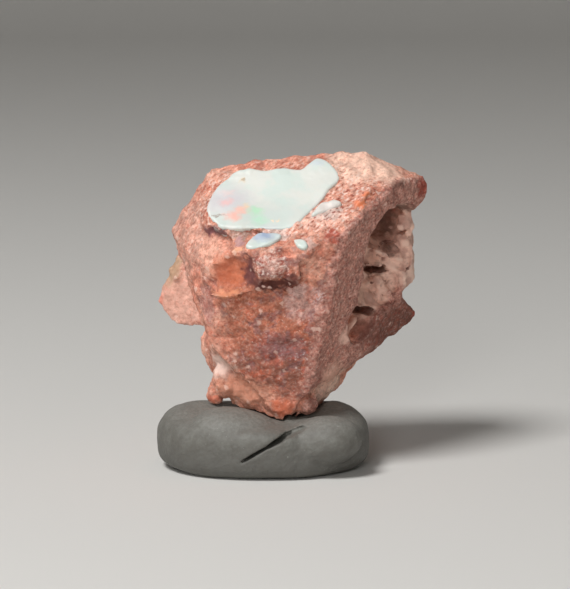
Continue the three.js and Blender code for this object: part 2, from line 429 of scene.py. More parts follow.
# %% [markdown]
# ## The putty
#
# The putty is a soft pat, pressed down on the table, with a fold on the right and a long crack
# where it was bent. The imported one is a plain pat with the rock's footprint in it. Lumps and a
# dent give it its outline, smoothing makes it soft, and the crack is cut after that, so that its
# edges stay sharp.

# %% Lumps and the dent
PUTTY_LUMPS = [
    ((-1.0, -1.5, 3.0), (6.5, 4.5, 2.4), (0, 0, 0)),  # fills the dent, under the rock
    ((-5.4, -5.6, 4.1), (4.6, 3.5, 2.5), (0, 8, 0)),  # mound to the left of the rock's tip
    ((-10.2, -1.2, 4.2), (2.9, 4.4, 1.9), (0, 0, 0)),  # squarer left end
    ((3.0, -6.6, 3.5), (3.9, 3.2, 2.5), (0, -6, -6)),  # the fold on the right
]
DENT = ((0.1, -6.3, 8.0), (3.7, 3.3, 2.6))
SOFT_VOXEL = 0.2

putty = own_copy("mounting_putty", "putty")
combine(putty, "UNION", [blob(*lump) for lump in PUTTY_LUMPS])
combine(putty, "DIFFERENCE", [blob(*DENT)])
reskin(putty, SOFT_VOXEL)
finish_with(putty, "SMOOTH", factor=0.5, iterations=6)

# %% The crack and the surface
CRACK = [
    ((-3.3, -9.9, 2.95), (2.3, 1.7, 0.2), (0, -31, 0)),
    ((-1.2, -9.9, 4.15), (1.8, 2.3, 0.32), (0, -29, 0)),
    ((0.4, -9.3, 4.85), (1.5, 2.1, 0.26), (0, -24, 0)),
    ((2.6, -4.6, 5.6), (0.16, 0.3, 0.14), (0, 0, 0)),  # and a pinhole above it
]
PUTTY_VOXEL = 0.12

combine(putty, "DIFFERENCE", [blob(*blade) for blade in CRACK])
reskin(putty, PUTTY_VOXEL)
finish_with(putty, "SMOOTH", factor=0.5, iterations=2)
roughen(putty, "CLOUDS", size=5.0, height=0.35, noise_depth=0)
roughen(putty, "CLOUDS", size=0.9, height=0.08, noise_depth=2)

# %% Flatten it where it stands on the table
select_only(putty)
bpy.ops.object.mode_set(mode="EDIT")
bpy.ops.mesh.select_all(action="SELECT")
bpy.ops.mesh.bisect(
    plane_co=(0, 0, 0),
    plane_no=(0, 0, -1),
    clear_outer=True,
    use_fill=True,
    threshold=WELD,
)
bpy.ops.object.mode_set(mode="OBJECT")
print("putty:", triangles(putty), "triangles")

# %% [markdown]
# ## Shader helpers
#
# A material is a tree of nodes. It can be wired by hand in the shader editor, but a short class
# that adds a node and its links in one call keeps a long recipe readable. Every pattern reads
# Object coordinates, scaled to millimetres, so a stain has its place on the specimen as a lump
# has.

# %% Colours and wiring


def rgb(red, green, blue):
    """A colour as seen on a screen, from 0 to 255, as the linear values that shaders use."""
    linear = []
    for part in (red / 255, green / 255, blue / 255):
        linear.append(part / 12.92 if part <= 0.04045 else ((part + 0.055) / 1.055) ** 2.4)
    return (*linear, 1)


class Wiring:
    """Adds nodes to one node tree, with their settings and links in one call."""

    def __init__(self, tree):
        self.tree = tree

    def node(self, kind, settings=None, **inputs):
        """A node whose inputs are named with _ for a space, or i0, i1 and so on for their order."""
        made = self.tree.nodes.new(kind)
        for setting, value in (settings or {}).items():
            setattr(made, setting, value)
        for name, value in inputs.items():
            by_order = name[0] == "i" and name[1:].isdigit()
            key = int(name[1:]) if by_order else name.replace("_", " ")
            if isinstance(value, bpy.types.NodeSocket):
                self.tree.links.new(value, made.inputs[key])
            else:
                made.inputs[key].default_value = value
        return made

    def maths(self, operation, a, b=0.0, c=0.0):
        return self.node("ShaderNodeMath", {"operation": operation}, i0=a, i1=b, i2=c).outputs[0]

    def vector(self, operation, a, b):
        return self.node("ShaderNodeVectorMath", {"operation": operation}, i0=a, i1=b).outputs[0]

    def scale(self, vector, factor):
        settings = {"operation": "SCALE"}
        return self.node("ShaderNodeVectorMath", settings, Vector=vector, Scale=factor).outputs[0]

    def noise(self, place, size, detail=2.0):
        """Noise with features of that many millimetres, from about 0.3 to 0.7."""
        texture = self.node("ShaderNodeTexNoise", Vector=place, Scale=1 / size, Detail=detail)
        return texture.outputs["Fac"]

    def ramp(self, value, low, high, bottom=0.0, top=1.0):
        """From bottom to top, in a straight line, while the value goes from low to high."""
        made = self.node(
            "ShaderNodeMapRange",
            Value=value,
            From_Min=low,
            From_Max=high,
            To_Min=bottom,
            To_Max=top,
        )
        return made.outputs["Result"]

    def steps(self, value, low, high):
        """From 0 to 1, with soft ends, while the value goes from low to high."""
        settings = {"interpolation_type": "SMOOTHSTEP"}
        made = self.node("ShaderNodeMapRange", settings, Value=value, From_Min=low, From_Max=high)
        return made.outputs["Result"]

    def mix(self, factor, under, over):
        made = self.node("ShaderNodeMix", {"data_type": "RGBA"}, i0=factor, i6=under, i7=over)
        return made.outputs[2]

    def bump(self, shader, relief, strength, depth):
        """Small relief, up to that many millimetres deep, on a Principled shader."""
        made = self.node("ShaderNodeBump", Strength=strength, Distance=depth * MM, Height=relief)
        self.tree.links.new(made.outputs["Normal"], shader.inputs["Normal"])


# %% New materials


def new_material(name):
    material = bpy.data.materials.new(name)
    material.use_nodes = True
    material.node_tree.nodes.clear()
    wire = Wiring(material.node_tree)
    shader = wire.node("ShaderNodeBsdfPrincipled")
    wire.node("ShaderNodeOutputMaterial", Surface=shader.outputs["BSDF"])
    return material, wire, shader


def place_in_mm(wire):
    coordinates = wire.node("ShaderNodeTexCoord").outputs["Object"]
    return wire.scale(coordinates, 1 / MM)


# %% [markdown]
# ## Effects that the materials share
#
# Three effects turn up in more than one material, so each is a node group with its own inputs. A
# spot puts a colour at a place. A ragged place shifts the coordinates about with noise, so that a
# spot gets a torn edge instead of a round one. A mottle lays patches of one colour over another.

# %% A helper for node groups


def new_group(name, inputs, output, output_kind):
    """An empty group, with what wires it and the sockets that give its inputs."""
    group = bpy.data.node_groups.new(name, "ShaderNodeTree")
    for socket, kind in inputs:
        group.interface.new_socket(socket, in_out="INPUT", socket_type=kind)
    group.interface.new_socket(output, in_out="OUTPUT", socket_type=output_kind)
    wire = Wiring(group)
    return group, wire, wire.node("NodeGroupInput").outputs


# %% Spot group
SPOT_INPUTS = [
    ("Place", "NodeSocketVector"),
    ("Centre", "NodeSocketVector"),
    ("Reach", "NodeSocketVector"),
    ("Strength", "NodeSocketFloat"),
    ("Core", "NodeSocketFloat"),
]
SPOT_END = 1.1  # it fades out a little past its reach

spot_group, wire, given = new_group("spot", SPOT_INPUTS, "Mask", "NodeSocketFloat")
offset = wire.vector("SUBTRACT", given["Place"], given["Centre"])
scaled = wire.vector("DIVIDE", offset, given["Reach"])
length = wire.node("ShaderNodeVectorMath", {"operation": "LENGTH"}, i0=scaled)
mask = wire.steps(length.outputs["Value"], SPOT_END, given["Core"])
wire.node("NodeGroupOutput", Mask=wire.maths("MULTIPLY", mask, given["Strength"]))


def spot(wire, place, centre, reach, strength=1.0, core=0.7):
    """How much of a spot is here: full strength up to the core, then less, out past the reach."""
    settings = {"Centre": centre, "Reach": reach, "Strength": strength, "Core": core}
    group = wire.node("ShaderNodeGroup", {"node_tree": spot_group}, Place=place, **settings)
    return group.outputs["Mask"]


# %% Ragged place group
RAGGED_INPUTS = [
    ("Place", "NodeSocketVector"),
    ("Size", "NodeSocketFloat"),
    ("Detail", "NodeSocketFloat"),
    ("Shift", "NodeSocketFloat"),
]
NOISE_MIDDLE = (0.5, 0.5, 0.5)

ragged_group, wire, given = new_group("ragged_place", RAGGED_INPUTS, "Place", "NodeSocketVector")
drift = wire.node(
    "ShaderNodeTexNoise",
    Vector=given["Place"],
    Scale=wire.maths("DIVIDE", 1.0, given["Size"]),
    Detail=given["Detail"],
)
centred = wire.vector("SUBTRACT", drift.outputs["Color"], NOISE_MIDDLE)
shift = wire.scale(centred, given["Shift"])
wire.node("NodeGroupOutput", Place=wire.vector("ADD", given["Place"], shift))


def ragged_place(wire, place, size, detail, shift):
    """The place, moved about by noise of that size, in millimetres."""
    settings = {"Size": size, "Detail": detail, "Shift": shift}
    group = wire.node("ShaderNodeGroup", {"node_tree": ragged_group}, Place=place, **settings)
    return group.outputs["Place"]


# %% Mottle group
MOTTLE_INPUTS = [
    ("Place", "NodeSocketVector"),
    ("Size", "NodeSocketFloat"),
    ("Detail", "NodeSocketFloat"),
    ("Low", "NodeSocketFloat"),
    ("High", "NodeSocketFloat"),
    ("Strength", "NodeSocketFloat"),
    ("Under", "NodeSocketColor"),
    ("Over", "NodeSocketColor"),
]
mottle_group, wire, given = new_group("mottle", MOTTLE_INPUTS, "Colour", "NodeSocketColor")
texture = wire.node(
    "ShaderNodeTexNoise",
    Vector=given["Place"],
    Scale=wire.maths("DIVIDE", 1.0, given["Size"]),
    Detail=given["Detail"],
)
patches = wire.steps(texture.outputs["Fac"], given["Low"], given["High"])
patches = wire.maths("MULTIPLY", patches, given["Strength"])
wire.node("NodeGroupOutput", Colour=wire.mix(patches, given["Under"], given["Over"]))


def mottle(wire, place, size, detail, low, high, under, over, strength=1.0):
    """Patches of one colour over another, where noise of that size goes from low to high."""
    settings = {
        "Size": size,
        "Detail": detail,
        "Low": low,
        "High": high,
        "Strength": strength,
        "Under": under,
        "Over": over,
    }
    group = wire.node("ShaderNodeGroup", {"node_tree": mottle_group}, Place=place, **settings)
    return group.outputs["Colour"]


print("node groups:", [group.name for group in bpy.data.node_groups])

# %% [markdown]
# ## The rock's colours
#
# The rock is pink, browner on the front, peach on top and pale on the lobe, with rust beside the
# fracture. One noise could not put each colour where it belongs, so the larger stains are spots
# with written places. Some places are calmer and cleaner, and the deep ones and a few edges are
# dark, partly dark stone and partly painted shade. Those two lists are laid over the grain later.

# %% Stains
STAINS = [
    # colour, centre, reach, strength
    ((184, 114, 90), (-1.5, -8.5, 13.5), (8.0, 3.6, 9.0), 0.9),  # brown-red front
    ((152, 98, 84), (-1.0, -6.5, 11.0), (5.5, 3.0, 3.6), 0.7),
    ((208, 156, 138), (-10.5, -3.5, 24.0), (3.0, 4.0, 5.0), 0.75),  # left cheek
    ((244, 200, 178), (7.5, -1.5, 30.5), (4.5, 3.2, 2.6), 0.9),  # peach top
    ((226, 174, 156), (-11.5, 5.0, 16.0), (3.2, 5.0, 4.4), 1.0),  # lobe
    ((186, 156, 128), (-12.4, 5.4, 19.2), (1.5, 2.4, 1.9), 0.8),
    ((216, 150, 126), (-4.5, -2.5, 8.0), (5.0, 4.5, 4.0), 0.95),  # foot
    # Painted light: the right foot is pale pink, painted paler still where it lies in shade.
    ((244, 204, 184), (4.4, -2.2, 8.4), (3.0, 3.8, 3.0), 1.0),
    ((180, 150, 138), (-4.9, -7.3, 24.2), (1.5, 1.0, 0.5), 0.8),
    ((214, 168, 156), (-1.9, -9.9, 21.5), (1.7, 1.5, 1.5), 0.8),  # nodule
    ((250, 196, 176), (2.6, -7.0, 25.8), (2.8, 1.8, 1.4), 0.7),  # pale streaks beside the opal
    ((216, 178, 170), (1.3, -8.0, 17.6), (2.3, 1.6, 2.3), 0.6),  # pale haze
    ((200, 164, 156), (0.3, -8.2, 18.7), (1.0, 0.9, 0.8), 0.55),
    ((150, 108, 108), (-8.2, -5.9, 17.5), (1.0, 1.6, 2.4), 0.5),
    ((144, 98, 98), (-1.0, -7.2, 12.9), (2.9, 1.8, 1.8), 0.55),
    ((184, 84, 70), (4.3, -8.2, 24.1), (1.2, 1.4, 0.7), 0.75),
    ((186, 84, 54), (4.9, -7.4, 21.7), (0.9, 1.6, 2.4), 0.55),  # rusty edge beside the fracture
    ((186, 84, 54), (3.7, -7.4, 17.3), (0.9, 1.6, 2.8), 0.55),
    ((186, 84, 54), (2.6, -6.6, 12.8), (0.9, 1.6, 2.8), 0.55),
    ((202, 96, 64), (-3.0, -5.2, 10.2), (2.6, 1.6, 0.6), 0.5),
    ((230, 214, 206), (-1.5, -8.0, 24.3), (1.6, 1.2, 0.7), 0.6),  # opal haze in the matrix
    ((230, 214, 206), (3.2, -6.4, 26.3), (1.8, 1.2, 0.9), 0.6),
    ((232, 214, 208), (1.4, -8.9, 23.3), (1.2, 0.9, 0.8), 0.4),
]
print("stains:", len(STAINS))

# %% Calm and dark places
CALM = [
    # colour, centre, reach, strength
    ((226, 172, 152), (-11.5, 5.0, 16.0), (3.0, 5.0, 4.0), 0.45),  # lobe
    ((184, 152, 122), (-12.3, 5.2, 18.9), (1.6, 2.8, 2.1), 0.6),
    ((224, 132, 114), (-13.6, 5.0, 15.6), (0.9, 1.5, 1.2), 0.6),
    ((244, 202, 180), (8.4, -1.6, 30.2), (4.4, 3.6, 2.2), 0.35),  # top
    ((226, 158, 130), (-4.0, -3.6, 8.2), (3.8, 3.0, 2.2), 0.5),  # foot
    ((244, 218, 206), (-7.0, -3.2, 10.6), (2.0, 2.2, 1.8), 0.75),
    # Painted light on the right foot, over its pale pink.
    ((244, 192, 170), (4.0, -3.2, 9.2), (1.6, 2.4, 2.4), 0.6),
    # Painted shade in the groove beside the foot's white patch.
    ((150, 122, 108), (-5.2, -4.4, 10.6), (0.9, 1.2, 0.6), 0.5),
    ((222, 112, 74), (-0.9, -5.6, 6.8), (1.3, 1.4, 1.3), 0.6),
    ((212, 112, 86), (-7.9, -0.9, 6.6), (0.9, 1.2, 0.6), 0.7),
    ((202, 112, 76), (-5.9, -7.8, 20.6), (2.6, 1.8, 2.2), 0.7),  # shell-shaped break
    ((180, 88, 58), (-6.6, -7.4, 20.4), (1.3, 1.6, 1.0), 0.45),
    ((244, 164, 124), (-6.4, -7.8, 18.4), (2.3, 1.6, 0.5), 0.6),
    ((252, 190, 154), (-5.2, -8.5, 22.75), (0.9, 0.8, 0.4), 0.75),
    ((240, 136, 92), (7.4, -5.4, 27.8), (0.7, 1.2, 0.6), 0.8),  # vein
    ((240, 136, 92), (6.7, -5.8, 27.1), (0.7, 1.2, 0.6), 0.9),
    ((122, 80, 70), (7.3, 0.5, 13.5), (1.5, 2.4, 1.3), 0.7),  # below the hollow, and the rib on its left
    ((244, 202, 184), (5.9, -1.1, 14.5), (1.1, 3.0, 1.1), 0.9),
    ((244, 198, 180), (5.3, -2.6, 13.4), (1.0, 3.0, 1.1), 0.9),
]
# The dark places: dark stone, and painted shade in pits, deep in the hollow and along edges.
DARK_AND_SHADE = [
    # colour, centre, reach, strength
    # Dark stone round the nodule, with painted shade in the pit under it.
    ((96, 58, 62), (-3.9, -8.6, 21.7), (0.8, 1.5, 1.0), 0.8),  # round the nodule
    ((92, 54, 58), (-4.1, -8.5, 20.5), (0.85, 1.5, 1.2), 0.85),
    ((92, 52, 50), (-3.3, -8.8, 19.5), (1.1, 1.5, 0.75), 0.85),
    ((86, 48, 44), (-1.4, -8.8, 19.5), (2.3, 1.5, 0.75), 0.9),
    ((92, 52, 48), (0.0, -9.3, 20.1), (1.1, 1.4, 0.85), 0.85),
    ((122, 84, 92), (-7.4, -6.3, 24.5), (1.7, 1.5, 0.9), 0.85),  # below the opal
    ((176, 146, 150), (-5.1, -7.9, 23.5), (0.7, 0.9, 0.45), 0.7),
    # Painted shadow under the opal's straight lower edge.
    ((128, 88, 66), (-2.9, -7.4, 24.7), (2.6, 0.5, 0.16), 0.7),
    # Painted shadow deep in the hollow and in the pits of its far wall.
    ((92, 64, 54), (9.3, 4.8, 23.9), (1.7, 3.4, 2.3), 0.75),  # deep in the hollow
    ((104, 74, 64), (11.0, 2.4, 25.7), (1.9, 3.4, 0.8), 0.8),
    ((110, 80, 70), (10.0, 4.2, 21.1), (1.1, 1.8, 0.7), 0.7),
    ((96, 68, 58), (8.5, 3.8, 19.25), (1.5, 2.2, 0.7), 0.5),
    ((106, 78, 68), (7.1, 2.2, 15.2), (1.5, 2.2, 0.7), 0.5),
    # Painted shade along the top's edge, so that the edge looks crisp.
    ((120, 80, 70), (9.3, -3.4, 28.15), (1.0, 1.6, 0.3), 0.6),  # along the top's edge
    ((120, 80, 70), (10.7, -2.0, 28.5), (1.0, 1.6, 0.3), 0.6),
    ((150, 104, 92), (8.4, -0.2, 30.9), (1.6, 0.7, 0.4), 0.5),
]
print("calm places:", len(CALM), "dark places:", len(DARK_AND_SHADE))

# %% Rock: base colour and stains
PINK = rgb(208, 136, 114)
PALE_PINK = rgb(232, 174, 152)
MAUVE = rgb(142, 102, 102)
RUST = rgb(196, 102, 74)
FRONT = ((-1.0, -8.5, 15.0), (9.0, 4.0, 10.0))
ELSEWHERE = (40, 0, 0)  # another stretch of the same noise, so that two patterns don't coincide

rock_material, wire, shader = new_material("rhyolite")
place = place_in_mm(wire)
moved = wire.vector("ADD", place, ELSEWHERE)
ragged = ragged_place(wire, place, size=0.8, detail=4.0, shift=2.0)

colour = mottle(
    wire, place, size=3.0, detail=3, low=0.35, high=0.65, under=PINK, over=PALE_PINK
)
for tint, centre, reach, strength in STAINS:
    colour = wire.mix(spot(wire, ragged, centre, reach, strength), colour, rgb(*tint))

# blotches of mauve and rust, strongest on the front
front = spot(wire, ragged, *FRONT)
mauve = wire.maths("MULTIPLY_ADD", front, 0.45, 0.15)
colour = mottle(
    wire, place, size=1.3, detail=5, low=0.53, high=0.63, under=colour, over=MAUVE, strength=mauve
)
rust = wire.maths("MULTIPLY_ADD", front, 0.2, 0.2)
colour = mottle(
    wire, moved, size=1.1, detail=5, low=0.55, high=0.64, under=colour, over=RUST, strength=rust
)
print("rhyolite:", len(wire.tree.nodes), "nodes so far")

# %% [markdown]
# ## The fracture
#
# The right side is a fresh break: a flat face, duller and finer than the worn front. It lies in
# one plane, so the distance out along the plane's normal tells it from the rest. A mask painted by
# hand would have to be painted again after each change of shape.

# %% Rock: the fracture down the right side
FRACTURE_OUT = (0.79, -0.55, -0.26)
FRACTURE_EDGE = (1.75, 2.2)  # it begins and is complete this far out, in millimetres
FRACTURE_STRENGTH = 0.9
FRESH = rgb(188, 134, 120)
FRESH_PALE = rgb(212, 164, 150)
FRESH_DARK = rgb(146, 96, 86)
WING_BROWN = rgb(124, 78, 66)
WING = ((11.0, 4.0, 12.8), (6.4, 6.6, 3.8), 0.9, 0.4)
WING_EDGE = (1.2, 2.0)
RUSTY_RED = rgb(166, 70, 54)
RUSTY_TIPS = [
    ((13.3, 7.2, 14.2), (1.1, 2.0, 1.2), 0.8),
    ((13.4, 1.8, 28.0), (1.1, 2.0, 1.2), 0.8),
]

out = wire.node("ShaderNodeVectorMath", {"operation": "DOT_PRODUCT"}, i0=place, i1=FRACTURE_OUT)
height_out = out.outputs["Value"]
fresh = wire.maths("MULTIPLY", wire.steps(height_out, *FRACTURE_EDGE), FRACTURE_STRENGTH)
colour = wire.mix(fresh, colour, FRESH)
speckle = wire.noise(place, size=0.22, detail=3)
pale_specks = wire.maths("MULTIPLY", fresh, wire.steps(speckle, 0.52, 0.68))
colour = wire.mix(pale_specks, colour, FRESH_PALE)
dark_specks = wire.maths("MULTIPLY", fresh, wire.steps(speckle, 0.46, 0.32))
colour = wire.mix(dark_specks, colour, FRESH_DARK)
wing = wire.maths("MULTIPLY", spot(wire, ragged, *WING), wire.steps(height_out, *WING_EDGE))
colour = wire.mix(wing, colour, WING_BROWN)
for tip in RUSTY_TIPS:
    colour = wire.mix(spot(wire, ragged, *tip), colour, RUSTY_RED)
print("rhyolite:", len(wire.tree.nodes), "nodes so far")

# %% [markdown]
# ## Sugar and grains
#
# The slope looks like packed sugar, in streaks that run across it, and the nodule does too. A
# noise that is drawn out along the slope gives the streaks: its high parts are pale grains and its
# low parts the red rock between them. Voronoi cells then make each grain a little lighter or
# darker than the next.

# %% Rock: sugar and grains
STREAK_TURN = Vector((0.8, 0.45, 0.4)).to_track_quat("X", "Z").to_euler()
STREAK_SHAPE = (2.0, 1, 1)
SLOPE = ((0, -5.2, 27.5), (12.0, 6.0, 4.4))
NODULE = ((-2.0, -9.6, 21.5), (1.8, 1.6, 1.7))
SUGAR = rgb(252, 226, 214)
DEEP_RED = rgb(160, 72, 56)
GRAIN_SIZE = 0.2

streaked = {"vector_type": "TEXTURE"}
along = wire.node(
    "ShaderNodeMapping", streaked, Vector=place, Rotation=STREAK_TURN, Scale=STREAK_SHAPE
)
streak = wire.noise(along.outputs[0], size=0.24, detail=3)
not_fresh = wire.maths("SUBTRACT", 1.0, fresh)
upper = wire.maths("MULTIPLY", spot(wire, ragged, *SLOPE), not_fresh)
sugary = wire.maths("MAXIMUM", upper, spot(wire, ragged, *NODULE))
pale = wire.maths("MULTIPLY_ADD", sugary, 0.55, 0.13)
pale = wire.maths("MULTIPLY", wire.steps(streak, 0.53, 0.63), pale)
colour = wire.mix(pale, colour, SUGAR)
deep = wire.maths("MULTIPLY_ADD", sugary, 0.35, 0.4)
deep = wire.maths("MULTIPLY", wire.steps(streak, 0.45, 0.36), deep)
colour = wire.mix(deep, colour, DEEP_RED)

grain = wire.node("ShaderNodeTexVoronoi", Vector=place, Scale=1 / GRAIN_SIZE).outputs["Color"]
grain_value = wire.node("ShaderNodeSeparateColor", Color=grain).outputs[0]
shade = wire.ramp(grain_value, low=0, high=1, bottom=0.82, top=1.16)
soft = wire.noise(place, size=0.7, detail=5)
blotch = wire.ramp(soft, low=0.3, high=0.7, bottom=0.7, top=1.25)
colour = wire.scale(colour, wire.maths("MULTIPLY", shade, blotch))
print("rhyolite:", len(wire.tree.nodes), "nodes so far")

# %% [markdown]
# ## The hollow, the calm places and the painted shade
#
# The hollow is lined with paler, cleaner stone, and some chips are plain in colour. These lie over
# the grain, and the same masks later make their relief calmer. The dark places come last: dark
# stone, and painted shade in the pits, deep in the hollow and along some edges.

# %% Rock: hollow, calm places and painted shade
LINING_PALE = rgb(252, 216, 198)
LINING_GREY = rgb(208, 170, 156)
HOLLOW_TOP = ((10.5, -0.2, 21.9), (6.2, 8.5, 5.8))
HOLLOW_FOOT = ((9.3, -0.8, 17.6), (5.4, 6.8, 3.7))
HOLLOW_RIM = ((12.3, 3.6, 20.8), (2.2, 3.8, 4.6))
HOLLOW_EDGE = (2.25, 1.7)  # it ends where the fracture begins

inside = wire.maths("MAXIMUM", spot(wire, ragged, *HOLLOW_TOP), spot(wire, ragged, *HOLLOW_FOOT))
inside = wire.maths("MULTIPLY", inside, wire.steps(height_out, *HOLLOW_EDGE))
inside = wire.maths("MAXIMUM", inside, spot(wire, ragged, *HOLLOW_RIM))
lining = mottle(
    wire, place, size=1.2, detail=4, low=0.44, high=0.62, under=LINING_PALE, over=LINING_GREY
)
colour = wire.mix(wire.maths("MULTIPLY", inside, 0.8), colour, lining)
calm = wire.maths("MULTIPLY", inside, 0.5)
# The calm list holds some painted light and shade, and the dark list dark stone and painted shade.
for places, core in [(CALM, 0.4), (DARK_AND_SHADE, 0.45)]:
    for tint, centre, reach, strength in places:
        mask = spot(wire, ragged, centre, reach, strength, core)
        colour = wire.mix(mask, colour, rgb(*tint))
        calm = wire.maths("MAXIMUM", calm, mask)
print("rhyolite:", len(wire.tree.nodes), "nodes so far")

# %% [markdown]
# ## Worn edges, shaded crevices and crystals
#
# Handled stone is pale along its edges, and its crevices are painted dark as painted shade.
# Pointiness measures both from the mesh. A few small white crystals sit in the front, but not in
# the fresh break or on the calm places.

# %% Rock: worn edges and crystals
WORN = rgb(250, 214, 198)
CREVICE_SHADE = rgb(112, 58, 48)
CRYSTAL = rgb(240, 218, 210)
CLUSTER_WHITE = rgb(232, 218, 220)
CLUSTERS = [
    ((0.9, -6.9, 12.1), (0.7, 1.4, 0.7), 0.5, 0.2),
    ((2.8, -8.0, 18.2), (0.7, 1.4, 0.7), 0.5, 0.2),
]

pointiness = wire.node("ShaderNodeNewGeometry").outputs["Pointiness"]
edges = wire.maths("MULTIPLY", wire.steps(pointiness, 0.53, 0.62), 0.45)
colour = wire.mix(edges, colour, WORN)
# Painted shade: the crevices are darkened.
crevice_shade = wire.maths("MULTIPLY", wire.steps(pointiness, 0.47, 0.40), 0.6)
colour = wire.mix(crevice_shade, colour, CREVICE_SHADE)

peaks = wire.steps(wire.noise(place, size=0.22, detail=0), 0.75, 0.79)
groups = wire.steps(wire.noise(moved, size=2.2, detail=2), 0.45, 0.6)
crystal = wire.maths("MULTIPLY", peaks, groups)
plain = wire.maths("SUBTRACT", 1.0, wire.maths("MAXIMUM", fresh, calm))
crystal = wire.maths("MULTIPLY", crystal, plain)
colour = wire.mix(wire.maths("MULTIPLY", crystal, 0.4), colour, CRYSTAL)
for cluster in CLUSTERS:
    grains = wire.maths("MULTIPLY", spot(wire, ragged, *cluster), wire.steps(speckle, 0.5, 0.6))
    colour = wire.mix(grains, colour, CLUSTER_WHITE)
print("rhyolite:", len(wire.tree.nodes), "nodes so far")

# %% [markdown]
# ## The rock's surface
#
# Dry stone hardly shines. Its larger grain is in the mesh, and only what is finer than the mesh's
# triangles is left to a bump: fine noise, the streaks on the slope and the single grains.

# %% Rock: surface
ROCK_ROUGHNESS = 0.88
ROCK_SHINE = 0.25

shader.inputs["Roughness"].default_value = ROCK_ROUGHNESS
shader.inputs["Specular IOR Level"].default_value = ROCK_SHINE
wire.tree.links.new(colour, shader.inputs["Base Color"])
streaks = wire.maths("MULTIPLY_ADD", upper, 0.8, 0.2)
fine = wire.noise(place, size=0.14, detail=3)
relief = wire.maths("MULTIPLY_ADD", streak, streaks, fine)
relief = wire.maths("MULTIPLY_ADD", grain_value, 0.5, relief)
relief = wire.maths("MULTIPLY", relief, wire.maths("MULTIPLY_ADD", calm, -0.5, 1))
wire.bump(shader, relief, strength=0.8, depth=0.08)
print("rhyolite:", len(wire.tree.nodes), "nodes")

# %% [markdown]
# ## The opal
#
# This opal is milky, with a play of colour in a few places: soft flashes of pink, orange and
# green at the lower left, and a bluish facet on the chip. Real flashes move as the stone is
# turned. The exported material must look the same from every side, so they are spots of colour
# with soft, ragged edges. A little light passes under the surface, and a thin coat gives its
# waxy shine.

# %% Flashes and painted shade
FLASHES_AND_SHADE = [
    # colour, centre, reach, strength
    # Painted shade: the first two spots darken the lower part and the left end of the large opal.
    ((204, 212, 206), (-3.0, -6.6, 26.0), (6.0, 2.4, 1.8), 0.8),
    ((214, 208, 211), (-6.4, -4.8, 27.2), (3.4, 2.6, 2.6), 0.9),
    ((244, 186, 180), (-6.45, -5.1, 27.2), (0.9, 0.7, 0.7), 0.6),
    ((240, 212, 206), (-6.3, -4.2, 28.0), (1.3, 0.8, 0.5), 0.5),
    ((250, 182, 164), (-5.75, -6.5, 26.0), (1.2, 0.9, 0.8), 0.85),
    ((252, 190, 170), (-4.9, -5.95, 26.55), (1.0, 0.8, 0.7), 0.8),
    ((248, 212, 160), (-4.4, -5.7, 26.9), (0.6, 0.6, 0.5), 0.7),
    ((176, 230, 186), (-3.55, -6.1, 26.5), (1.0, 0.9, 0.9), 0.7),
    ((184, 230, 198), (-3.1, -7.0, 25.7), (1.1, 0.9, 0.9), 0.6),
    ((255, 226, 190), (-1.95, -7.2, 25.6), (0.35, 0.4, 0.25), 0.8),
    ((255, 226, 190), (-1.2, -7.2, 25.7), (0.3, 0.4, 0.25), 0.8),
    ((120, 78, 44), (-4.7, -3.1, 29.1), (0.22, 0.3, 0.2), 0.9),
    ((232, 206, 166), (-4.9, -3.2, 29.2), (0.6, 0.5, 0.5), 0.7),
    ((150, 124, 108), (-7.3, -6.3, 25.9), (1.2, 0.35, 0.13), 0.8),
    ((118, 82, 84), (-7.0, -6.6, 24.3), (1.6, 1.2, 0.6), 1.0),  # the matrix on its underside
    ((190, 200, 204), (-2.4, -8.2, 24.3), (2.6, 1.6, 1.2), 0.9),  # the chip and its bluish facet
    ((164, 178, 204), (-2.7, -8.4, 24.2), (1.2, 1.2, 0.8), 0.9),
    ((206, 214, 220), (2.6, -2.0, 30.7), (1.1, 0.9, 0.5), 0.7),
    ((226, 214, 208), (3.3, -6.2, 26.7), (2.0, 1.6, 1.6), 0.8),
]
print("flashes:", len(FLASHES_AND_SHADE))

# %% Opal: colour and surface
MILK = rgb(214, 224, 217)
CREAM = rgb(224, 225, 218)
FLASH_CORE = 0.15

opal_material, wire, shader = new_material("milky_opal")
place = place_in_mm(wire)
ragged = ragged_place(wire, place, size=0.6, detail=3.0, shift=1.2)
colour = mottle(wire, place, size=2.5, detail=3, low=0.4, high=0.6, under=MILK, over=CREAM)
for tint, centre, reach, strength in FLASHES_AND_SHADE:
    colour = wire.mix(spot(wire, ragged, centre, reach, strength, FLASH_CORE), colour, rgb(*tint))
wire.tree.links.new(colour, shader.inputs["Base Color"])
shader.inputs["Roughness"].default_value = 0.42
shader.inputs["Subsurface Weight"].default_value = 0.3
shader.inputs["Subsurface Radius"].default_value = (1.0, 0.9, 0.8)
shader.inputs["Subsurface Scale"].default_value = 0.5 * MM
shader.inputs["Coat Weight"].default_value = 0.1
shader.inputs["Coat Roughness"].default_value = 0.35
waves = wire.noise(place, size=0.8, detail=4)
wire.bump(shader, waves, strength=0.4, depth=0.05)
print("milky_opal:", len(wire.tree.nodes), "nodes")

# %% [markdown]
# ## The putty's finish
#
# Grey putty is dull and a little greasy, with dust and grit pressed into it. Its colour is painted
# darker low down, as painted shade where it turns away from the light, and paler on top, as
# painted light. Its relief has two noises: an even one, and one drawn out sideways, as fingers leave it.

# %% Putty: colour and surface
GREY = rgb(106, 104, 98)
LIGHT_GREY = rgb(117, 116, 110)
SHADED_LOW_GREY = rgb(88, 87, 83)
LIT_TOP_GREY = rgb(134, 133, 127)
GRIT = rgb(84, 80, 72)
SPECK = rgb(176, 176, 170)
# Painted shade low down and painted light on top begin and are complete at these heights.
LOW_SHADE_HEIGHTS = (4.6, 1.2)  # the low grey begins and is complete at these heights
TOP_LIGHT_HEIGHTS = (4.4, 5.8)
DRAWN_TURN = (0, -0.5, 0)
DRAWN_SHAPE = (4, 1, 1)

